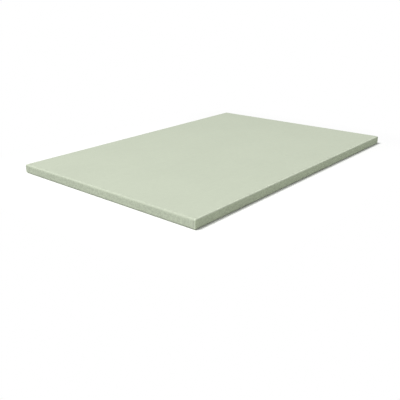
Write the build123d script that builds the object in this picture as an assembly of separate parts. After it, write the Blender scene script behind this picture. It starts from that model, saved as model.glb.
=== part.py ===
from build123d import *
import os

# One sheet of moisture-resistant drywall, lying flat on its back face, as one solid.
# The origin is the middle of the back face. X runs along the long edges, Y along the
# short ends and Z up through the thickness. All sizes are in millimetres.

# Driving dimensions
LENGTH = 900.0
WIDTH = 625.0
THICKNESS = 25.0
EDGE_ARRIS_RADIUS = 5.0  # rounding along the long edges, at the front and back faces
END_ARRIS_RADIUS = 5.0  # rounding across the short ends, at the front and back faces
CORNER_RADIUS = 2.0  # rounding of the four upright corners, seen from above


def outline_prism():
    """The rectangle seen from above, with its corners eased, at the sheet's full thickness."""
    return extrude(RectangleRounded(LENGTH, WIDTH, CORNER_RADIUS), THICKNESS)


def rounded_bar(plane, section_width, arris_radius, bar_length):
    """A bar as thick as the sheet with its four long arrises rounded, centred on the origin.

    The plane holds the section, whose upright direction is Z.
    """
    section = RectangleRounded(section_width, THICKNESS, arris_radius)
    on_floor = plane * Pos(0, THICKNESS / 2) * section
    return extrude(on_floor, bar_length / 2, both=True)


def drywall_sheet():
    """The sheet: its outline, cut by the section of the long edges and that of the ends.

    The roundings of two neighbouring sides meet in a mitre at each corner.
    """
    across_width = rounded_bar(Plane.YZ, WIDTH, EDGE_ARRIS_RADIUS, LENGTH)
    along_length = rounded_bar(Plane.XZ, LENGTH, END_ARRIS_RADIUS, WIDTH)
    return outline_prism() & across_width & along_length


os.makedirs("parts", exist_ok=True)
export_step(drywall_sheet(), "parts/drywall_sheet.step")
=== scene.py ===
import math
from typing import NamedTuple

import bpy
import numpy as np
from mathutils import Matrix, Vector, noise


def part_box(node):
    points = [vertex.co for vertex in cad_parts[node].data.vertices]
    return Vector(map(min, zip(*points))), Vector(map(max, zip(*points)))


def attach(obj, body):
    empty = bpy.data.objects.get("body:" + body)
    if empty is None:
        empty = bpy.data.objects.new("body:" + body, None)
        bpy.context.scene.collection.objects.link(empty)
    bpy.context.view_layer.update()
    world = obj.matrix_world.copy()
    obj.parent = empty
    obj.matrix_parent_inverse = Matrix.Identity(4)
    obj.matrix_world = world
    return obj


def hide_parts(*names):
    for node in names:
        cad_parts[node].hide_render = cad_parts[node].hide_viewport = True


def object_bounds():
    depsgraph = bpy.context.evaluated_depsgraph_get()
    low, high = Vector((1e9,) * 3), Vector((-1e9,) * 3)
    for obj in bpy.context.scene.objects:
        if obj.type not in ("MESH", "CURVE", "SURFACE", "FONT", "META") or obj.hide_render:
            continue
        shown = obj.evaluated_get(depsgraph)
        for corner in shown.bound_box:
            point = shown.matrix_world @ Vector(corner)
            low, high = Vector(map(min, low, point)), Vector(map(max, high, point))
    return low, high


# One sheet of moisture-resistant drywall, lying on its back face on a white studio floor.
# Lengths are in metres unless a line says otherwise, in the frame of the CAD model: X runs along
# the long edges, Y along the short ends and Z up through the thickness. Colours are linear.

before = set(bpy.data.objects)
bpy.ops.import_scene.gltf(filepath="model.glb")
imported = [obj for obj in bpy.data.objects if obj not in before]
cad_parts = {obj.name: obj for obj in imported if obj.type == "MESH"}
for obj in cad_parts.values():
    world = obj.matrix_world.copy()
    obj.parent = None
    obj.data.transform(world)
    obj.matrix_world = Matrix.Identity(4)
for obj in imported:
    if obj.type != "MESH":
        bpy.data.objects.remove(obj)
cad_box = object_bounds()

# The picture, and the camera fitted to the sheet's edges in it
IMAGE_SIDE = 400  # pixels
FOCAL_PIXELS = 539.2
SENSOR_WIDTH = 36.0  # millimetres
NEAREST_SEEN = 0.05
CAMERA_PLACE = Vector((-1.2153, -0.9916, 0.4550))
CAMERA_YAW = math.radians(49.02)
CAMERA_PITCH = math.radians(20.72)
CAMERA_ROLL = math.radians(0.67)

# Light: one large soft lamp, high over the left end, and an even fill from all round
KEY_DIRECTION = Vector((-0.44, 0.18, 0.88)).normalized()
KEY_DISTANCE = 8.0
KEY_AIM = Vector((-2.5, -6.5, 0.0))  # the spot it faces, so that the near corner gets most light
KEY_SIDE = 2.8
KEY_POWER = 580.0  # watts
FILL_STRENGTH = 0.34

# Floor: white near the sheet, where it takes the shadow, and plain white light further out
FLOOR_SIDE = 60.0
FLOOR_BOUNCE = 0.66  # how much light the floor gives back to the sheet
FLOOR_SHOWN = 1.11  # how white the camera sees it, so that only its shadows show
SHADOW_REACH = 0.04  # how far out from the sheet the shadow is at its full strength
OPEN_FLOOR = 0.20  # and where it has run out
WHITE = (1, 1, 1, 1)

# The sheet's form
ARRIS_RADIUS = 0.005
CORNER_SQUARENESS = 6.0  # exponent of the upright corners' curve, seen from above
ARRIS_STEPS = 6  # mesh lines in an eighth of a turn
LINES_ALONG = 110
LINES_ACROSS = 78
LINES_UP = 4
CROWDING = 0.4  # how much closer the mesh lines stand near the arrises
FACE_UNEVENNESS = 0.00006
FACE_WAVE = 0.11
ARRIS_UNEVENNESS = 0.00025
ARRIS_WAVE = 0.022
MID_ARRIS_DROP = 0.29  # how far below 1 the largest part of the normal is halfway round an arris

# Where the six sides lie on the sheet's texture map, in parts of its side
MAP_SCALE = 0.945  # per metre, for the front face and along the four narrow sides
MAP_SCALE_BACK = 0.425
MAP_STRIP_STRETCH = 1.6  # how much wider the narrow sides are drawn there
MAP_GAP = 0.013

# The paper's colour, and how much paler than the plain green its painted highlights make it
PAPER_GREEN = (0.608, 0.662, 0.529)
UNTINTED = (1, 1, 1)
LONG_SIDE_PAINTED_TINT = (0.981, 1.022, 0.925)  # painted: the long sides deeper and yellower than the face, in place of the sheen that whitens the face
END_PAINTED_SHADE = (0.945, 0.962, 0.936)  # painted shade: the short ends darker
EDGE_PAINTED_HIGHLIGHT = 0.40  # painted highlight on the arrises of the long edges
END_PAINTED_HIGHLIGHT = 0.045  # painted highlight on the arrises of the short ends
BACK_HIGHLIGHT_SHARE = 0.3  # how much of that painted highlight the arrises of the back face have
# painted highlight along the upright corners
CORNER_PAINTED_HIGHLIGHT = 0.42
PALEST = 1.45  # times the plain green, so that no spot gives back more light than it gets

# Where each form begins and where it is full, by the part of the normal along one axis
ARRIS_OFF_FACE = (0.998, 0.90)  # upright part
ARRIS_OFF_SIDE = (0.55, 0.84)  # upright part
NARROW_SIDE = (0.6, 0.25)  # upright part
SHORT_END = (0.5, 0.85)  # lengthwise part
LONG_EDGE_ARRIS = (0.05, 0.30)  # crosswise part
FRONT_ARRIS = (-0.2, 0.2)  # upright part, below 0 where it points down
UPRIGHT_CORNER = (0.05, 0.40)  # the smaller of the lengthwise and crosswise parts


class Grain(NamedTuple):
    """One layer of noise in the paper."""

    size: float  # of its features
    amount: float = 1.0  # how much it adds to the shade or the relief, at most
    stretch: tuple = (1, 1, 1)  # how many times longer its features are along X, Y and Z
    detail: float = 2.0  # how many finer and finer layers it holds


# How the shade varies: over the whole sheet, on the four narrow sides and on the arrises
USUAL_NOISE = (0.3, 0.7)  # nearly all of the noise lies between these values
CLOUDS = Grain(0.16, 0.010)
FORMATION = Grain(0.014, 0.008, detail=3)
STREAKS = Grain(0.006, 0.006, stretch=(30, 1, 1))
FIBRES = Grain(0.0012, 0.022, stretch=(2.5, 1, 1), detail=3)
FLECKS = Grain(0.0022, 0.03, detail=1)
FLECK_NOISE = (0.70, 0.78)  # where a fleck begins and where it is full
SIDE_CLOUDS = Grain(0.045, 0.022)
SIDE_GRAIN = Grain(0.0034, 0.11, stretch=(1.5, 1.5, 1), detail=7)
END_GRAIN = Grain(0.0025, 0.04, detail=4)  # on the short ends only
ARRIS_GRAIN = Grain(0.006, 0.075, detail=5)
# Beads along the painted highlight of the arrises and corners
HIGHLIGHT_BEADS = Grain(0.006, detail=6)
HIGHLIGHT_BEAD_NOISE = (0.35, 0.65)
HIGHLIGHT_BEAD_RANGE = (0.60, 1.30)  # times the painted highlight of an arris or corner

# The paper's surface
FELT = Grain(0.005, stretch=(1.6, 1, 1), detail=3)
FINE_FELT = Grain(0.0016, 0.3)
SIDE_FELT = Grain(0.003, 0.6)  # on the narrow sides only
FELT_DEPTH = 0.00030
ROUGHNESS_GRAIN = Grain(0.010, detail=3)
ROUGHNESS_RANGE = (0.84, 0.92)
SPECULAR = 0.35


def axis_lines(half, interior):
    """Places of the mesh lines across the sheet, denser over the arrises and next to them."""
    inner = half - ARRIS_RADIUS
    u = np.linspace(-1, 1, interior + 1)
    flat = inner * ((1 + CROWDING) * u - CROWDING * u**3)
    turn = np.radians(45) * np.arange(1, ARRIS_STEPS + 1) / ARRIS_STEPS
    bend = inner + ARRIS_RADIUS * np.tan(turn)
    return np.concatenate([-bend[::-1], flat, bend])


def side_quads(counts, axis, far):
    """Lattice places of the corners of each quad on one side of a box, turned to face out."""
    a = (axis + 1) % 3
    b = (axis + 2) % 3
    i, j = np.meshgrid(np.arange(counts[a] - 1), np.arange(counts[b] - 1), indexing="ij")
    steps = [(0, 0), (1, 0), (1, 1), (0, 1)]
    if not far:
        steps.reverse()
    quads = np.zeros((i.size, 4, 3), int)
    quads[:, :, axis] = (counts[axis] - 1) * far
    for corner, (step_a, step_b) in enumerate(steps):
        quads[:, corner, a] = i.ravel() + step_a
        quads[:, corner, b] = j.ravel() + step_b
    return quads


def map_places(half):
    """For each side of the box: its axis, its end, right and up on the map, and its corner.

    The length of right and up is the map's scale that way.
    """
    x, y, z = np.eye(3) * MAP_SCALE
    z *= MAP_STRIP_STRETCH
    back_x, back_y, _ = np.eye(3) * MAP_SCALE_BACK
    length = 2 * half @ x
    width = 2 * half @ y
    strip = 2 * half @ z + MAP_GAP
    beside = MAP_GAP * 2 + length
    above = MAP_GAP * 2 + width
    return [
        (2, 1, x, y, (MAP_GAP, MAP_GAP)),
        (0, 0, z, y, (beside, MAP_GAP)),
        (0, 1, -z, y, (beside + strip, MAP_GAP)),
        (1, 0, x, z, (MAP_GAP, above)),
        (1, 1, -x, z, (MAP_GAP, above + strip)),
        (2, 0, back_x, -back_y, (MAP_GAP, above + 2 * strip)),
    ]


def rounded(points, half):
    """Moves points of the plain box in to the arrises and corners, and gives the way out there."""
    core = np.clip(points, -(half - ARRIS_RADIUS), half - ARRIS_RADIUS)
    away = points - core
    plan = np.abs(away[:, :2]) ** CORNER_SQUARENESS
    reach = np.hypot(plan.sum(1) ** (1 / CORNER_SQUARENESS), away[:, 2])
    out = away / reach[:, None]
    return core + out * ARRIS_RADIUS, out


def swell(points, wave):
    """Smooth noise from 0 to 1 at each point, with waves about that long."""
    return np.array([0.5 + 0.5 * noise.noise(Vector(p) / wave) for p in points])


def unevenness(points, out):
    """How far each point lies in from the true form: a little on the faces, more on arrises."""
    on_arris = np.clip((1 - np.abs(out).max(1)) / MID_ARRIS_DROP, 0, 1)
    face = FACE_UNEVENNESS * swell(points, FACE_WAVE)
    return face + ARRIS_UNEVENNESS * on_arris * swell(points, ARRIS_WAVE)


def board_mesh():
    """The sheet as one closed mesh with soft arrises, and a texture map laid out by side."""
    low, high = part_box("drywall_sheet")
    centre = np.array((low + high) / 2)
    half = np.array((high - low) / 2)
    lines = [
        axis_lines(half[0], LINES_ALONG),
        axis_lines(half[1], LINES_ACROSS),
        axis_lines(half[2], LINES_UP),
    ]
    counts = [len(places) for places in lines]
    corners = []
    uvs = []
    for axis, far, right, up, start in map_places(half):
        quads = side_quads(counts, axis, far)
        places = np.stack([lines[n][quads[:, :, n]] for n in range(3)], axis=2)
        u = start[0] + places @ right + np.abs(right) @ half
        v = start[1] + places @ up + np.abs(up) @ half
        corners.append(quads.reshape(-1, 3))
        uvs.append(np.stack([u, v], axis=2).reshape(-1, 2))
    lattice, index = np.unique(np.concatenate(corners), axis=0, return_inverse=True)
    box_points = np.stack([lines[n][lattice[:, n]] for n in range(3)], axis=1)
    points, out = rounded(box_points, half)
    points = centre + points - out * unevenness(points, out)[:, None]

    mesh = bpy.data.meshes.new("green_board")
    mesh.from_pydata(points.tolist(), [], index.reshape(-1, 4).tolist())
    mesh.shade_smooth()
    layer = mesh.uv_layers.new(name="OFBake")
    layer.data.foreach_set("uv", np.concatenate(uvs).ravel())
    return mesh


def add_object(name, data):
    """A new object in the scene."""
    made = bpy.data.objects.new(name, data)
    bpy.context.scene.collection.objects.link(made)
    return made


def add_board():
    """The dressed sheet, which stands for the CAD model's solid."""
    board = add_object("green_board", board_mesh())
    board.data.materials.append(green_paper())
    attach(board, "root")
    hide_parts("drywall_sheet")


class Tree:
    """Short calls for building a material's or the world's nodes."""

    def __init__(self, owner):
        owner.use_nodes = True
        self.tree = owner.node_tree
        self.tree.nodes.clear()

    def add(self, kind, inputs=None, **settings):
        """A node. Each input takes a value or another node's output."""
        made = self.tree.nodes.new("ShaderNode" + kind)
        for name, value in settings.items():
            setattr(made, name, value)
        for name, value in (inputs or {}).items():
            if isinstance(value, bpy.types.NodeSocket):
                self.tree.links.new(value, made.inputs[name])
            else:
                made.inputs[name].default_value = value
        return made

    def math(self, operation, first, second=0.0):
        """What a Math node makes of one or two numbers."""
        return self.add("Math", {0: first, 1: second}, operation=operation).outputs[0]

    def times(self, first, second):
        return self.math("MULTIPLY", first, second)

    def total(self, first, *others):
        for other in others:
            first = self.math("ADD", first, other)
        return first

    def vector(self, operation, inputs, output="Vector"):
        """What a Vector Math node makes of its inputs."""
        return self.add("VectorMath", inputs, operation=operation).outputs[output]

    def ramp(self, value, start, end, low, high):
        """value eased from low, at start, to high, at end."""
        inputs = {"Value": value, "From Min": start, "From Max": end, "To Min": low, "To Max": high}
        return self.add("MapRange", inputs, interpolation_type="SMOOTHSTEP").outputs["Result"]

    def mixed(self, share, first, second):
        """A colour between first and second."""
        # Vectors go in to this node at 4 and 5, and come out at 1
        made = self.add("Mix", {0: share, 4: first, 5: second}, data_type="VECTOR")
        return made.outputs[1]

    def grained(self, places, grain):
        """The soft noise of one layer of grain, from 0 to 1."""
        scale = [1 / (grain.size * by) for by in grain.stretch]
        at = self.add("Mapping", {"Vector": places, "Scale": scale}).outputs["Vector"]
        made = self.add("TexNoise", {"Vector": at, "Scale": 1.0, "Detail": grain.detail})
        return made.outputs["Fac"]

    def swing(self, places, grain):
        """A layer of grain as a change of shade, as far down as up."""
        return self.ramp(self.grained(places, grain), *USUAL_NOISE, -grain.amount, grain.amount)


def shape_masks(tree):
    """How far each spot is on a narrow side, a short end or an arris, and how much painted
    highlight it gets.
    """
    normal = tree.add("TexCoord").outputs["Normal"]
    axes = tree.add("SeparateXYZ", {0: normal}).outputs
    upward = axes["Z"]
    x, y, z = (tree.math("ABSOLUTE", axis) for axis in axes)
    side = tree.ramp(z, *NARROW_SIDE, 0, 1)
    end = tree.times(side, tree.ramp(x, *SHORT_END, 0, 1))
    arris = tree.times(tree.ramp(z, *ARRIS_OFF_FACE, 0, 1), tree.ramp(z, *ARRIS_OFF_SIDE, 0, 1))
    # Painted highlight: strongest on the arrises of the long edges and of the front face
    highlight_strength = tree.ramp(y, *LONG_EDGE_ARRIS, END_PAINTED_HIGHLIGHT, EDGE_PAINTED_HIGHLIGHT)
    share = tree.ramp(upward, *FRONT_ARRIS, BACK_HIGHLIGHT_SHARE, 1)
    arris_highlight = tree.times(tree.times(arris, highlight_strength), share)
    # Painted highlight on the upright corners
    corner_highlight = tree.ramp(tree.math("MINIMUM", x, y), *UPRIGHT_CORNER, 0, CORNER_PAINTED_HIGHLIGHT)
    return side, end, arris, tree.math("MAXIMUM", arris_highlight, corner_highlight)


def paper_shade(tree, places, side, end, arris, painted_highlight):
    """How many times lighter than its plain green each spot of the paper is."""
    everywhere = [tree.swing(places, grain) for grain in (CLOUDS, FORMATION, STREAKS, FIBRES)]
    flecks = tree.ramp(tree.grained(places, FLECKS), *FLECK_NOISE, 0, FLECKS.amount)
    on_side = tree.total(tree.swing(places, SIDE_CLOUDS), tree.swing(places, SIDE_GRAIN))
    # The painted highlight, broken into beads
    beaded_highlight = tree.ramp(tree.grained(places, HIGHLIGHT_BEADS), *HIGHLIGHT_BEAD_NOISE, *HIGHLIGHT_BEAD_RANGE)
    change = tree.total(
        *everywhere,
        flecks,
        tree.times(side, on_side),
        tree.times(end, tree.swing(places, END_GRAIN)),
        tree.times(arris, tree.swing(places, ARRIS_GRAIN)),
        # painted highlight on the arrises and upright corners, broken into beads
        tree.times(painted_highlight, beaded_highlight),
    )
    return tree.math("MINIMUM", tree.math("ADD", change, 1.0), PALEST)


def paper_colour(tree, side, end, shade):
    """The green of the paper, a little yellower on the long edges and darker on the ends, both
    painted in place of the face's sheen and the ends' shade.
    """
    # Painted light: the long sides' tint stands in for the sheen on the face, the ends' for their
    # shade
    on_edge = tree.mixed(side, UNTINTED, LONG_SIDE_PAINTED_TINT)
    tint = tree.mixed(end, on_edge, END_PAINTED_SHADE)
    green = tree.vector("MULTIPLY", {0: tint, 1: PAPER_GREEN})
    return tree.vector("SCALE", {0: green, "Scale": shade})


def paper_bump(tree, places, side):
    """The paper's fine felted surface, a little rougher on the narrow sides."""
    fine = tree.times(tree.grained(places, FINE_FELT), FINE_FELT.amount)
    on_side = tree.times(side, tree.grained(places, SIDE_FELT))
    height = tree.total(tree.grained(places, FELT), fine, tree.times(on_side, SIDE_FELT.amount))
    bump = tree.add("Bump", {"Height": height, "Distance": FELT_DEPTH, "Strength": 1.0})
    return bump.outputs["Normal"]


def green_paper():
    """Pale green face paper: matt, finely fibrous, with a painted highlight along the arrises."""
    material = bpy.data.materials.new("green_face_paper")
    tree = Tree(material)
    places = tree.add("TexCoord").outputs["Object"]
    side, end, arris, painted_highlight = shape_masks(tree)
    shade = paper_shade(tree, places, side, end, arris, painted_highlight)
    roughness = tree.ramp(tree.grained(places, ROUGHNESS_GRAIN), *USUAL_NOISE, *ROUGHNESS_RANGE)
    surface = tree.add(
        "BsdfPrincipled",
        {
            "Base Color": paper_colour(tree, side, end, shade),
            "Roughness": roughness,
            "Normal": paper_bump(tree, places, side),
            "Specular IOR Level": SPECULAR,
        },
    )
    tree.add("OutputMaterial", {"Surface": surface.outputs[0]})
    return material


def add_camera():
    """The camera that took the picture: turned, then tilted down, then rolled."""
    data = bpy.data.cameras.new("camera")
    data.sensor_width = SENSOR_WIDTH
    data.lens = SENSOR_WIDTH * FOCAL_PIXELS / IMAGE_SIDE
    data.clip_start = NEAREST_SEEN
    camera = add_object("camera", data)
    turn = Matrix.Rotation(-CAMERA_YAW, 4, "Z")
    tilt = Matrix.Rotation(math.pi / 2 - CAMERA_PITCH, 4, "X")
    roll = Matrix.Rotation(-CAMERA_ROLL, 4, "Z")
    camera.matrix_world = Matrix.Translation(CAMERA_PLACE) @ turn @ tilt @ roll
    bpy.context.scene.camera = camera


def seen_directly(tree):
    """1 for what the camera sees itself, in gloss or through glass, and 0 for lighting."""
    path = tree.add("LightPath").outputs
    seen = tree.math("MAXIMUM", path["Is Camera Ray"], path["Is Glossy Ray"])
    return tree.math("MAXIMUM", seen, path["Is Transmission Ray"])


def add_world():
    """White all round to the eye, and the fill as light."""
    world = bpy.data.worlds.new("studio")
    bpy.context.scene.world = world
    tree = Tree(world)
    white = tree.add("Background", {"Color": WHITE, "Strength": 1.0}).outputs[0]
    fill = tree.add("Background", {"Color": WHITE, "Strength": FILL_STRENGTH}).outputs[0]
    mix = tree.add("MixShader", {0: seen_directly(tree), 1: fill, 2: white})
    tree.add("OutputWorld", {"Surface": mix.outputs[0]})


def add_key():
    """The large soft lamp."""
    data = bpy.data.lights.new("key", "AREA")
    data.shape = "SQUARE"
    data.size = KEY_SIDE
    data.energy = KEY_POWER
    key = add_object("key", data)
    key.location = KEY_DIRECTION * KEY_DISTANCE
    key.rotation_mode = "QUATERNION"
    key.rotation_quaternion = (key.location - KEY_AIM).to_track_quat("Z", "Y")


def distance_outside(tree, half):
    """How far a spot of the floor lies outside the sheet's outline."""
    places = tree.add("TexCoord").outputs["Object"]
    past = tree.vector("SUBTRACT", {0: tree.vector("ABSOLUTE", {0: places}), 1: half})
    outside = tree.vector("MAXIMUM", {0: past, 1: (0, 0, 0)})
    return tree.vector("LENGTH", {0: outside}, output="Value")


def matt_grey(tree, level):
    """A matt surface that gives back that share of its light."""
    return tree.add("BsdfDiffuse", {"Color": (level, level, level, 1)}).outputs[0]


def floor_paint(half):
    """White floor that keeps the sheet's shadow and runs out into plain white."""
    material = bpy.data.materials.new("floor")
    tree = Tree(material)
    how_open = tree.ramp(distance_outside(tree, half), SHADOW_REACH, OPEN_FLOOR, 0, 1)
    near = matt_grey(tree, FLOOR_SHOWN)
    open_white = tree.add("Emission", {"Strength": 1.0}).outputs[0]
    shown = tree.add("MixShader", {0: how_open, 1: near, 2: open_white}).outputs[0]
    bounce = matt_grey(tree, FLOOR_BOUNCE)
    mix = tree.add("MixShader", {0: seen_directly(tree), 1: bounce, 2: shown})
    tree.add("OutputMaterial", {"Surface": mix.outputs[0]})
    return material


def add_floor(cad_box):
    """The floor under the sheet, which is no part of it."""
    bpy.ops.mesh.primitive_plane_add(size=FLOOR_SIDE)
    floor = bpy.context.object
    floor.name = "floor"
    low, high = cad_box
    floor.data.materials.append(floor_paint((high - low) / 2))


bpy.context.scene.view_settings.view_transform = "Standard"
add_camera()
add_board()
add_world()
add_key()
add_floor(cad_box)
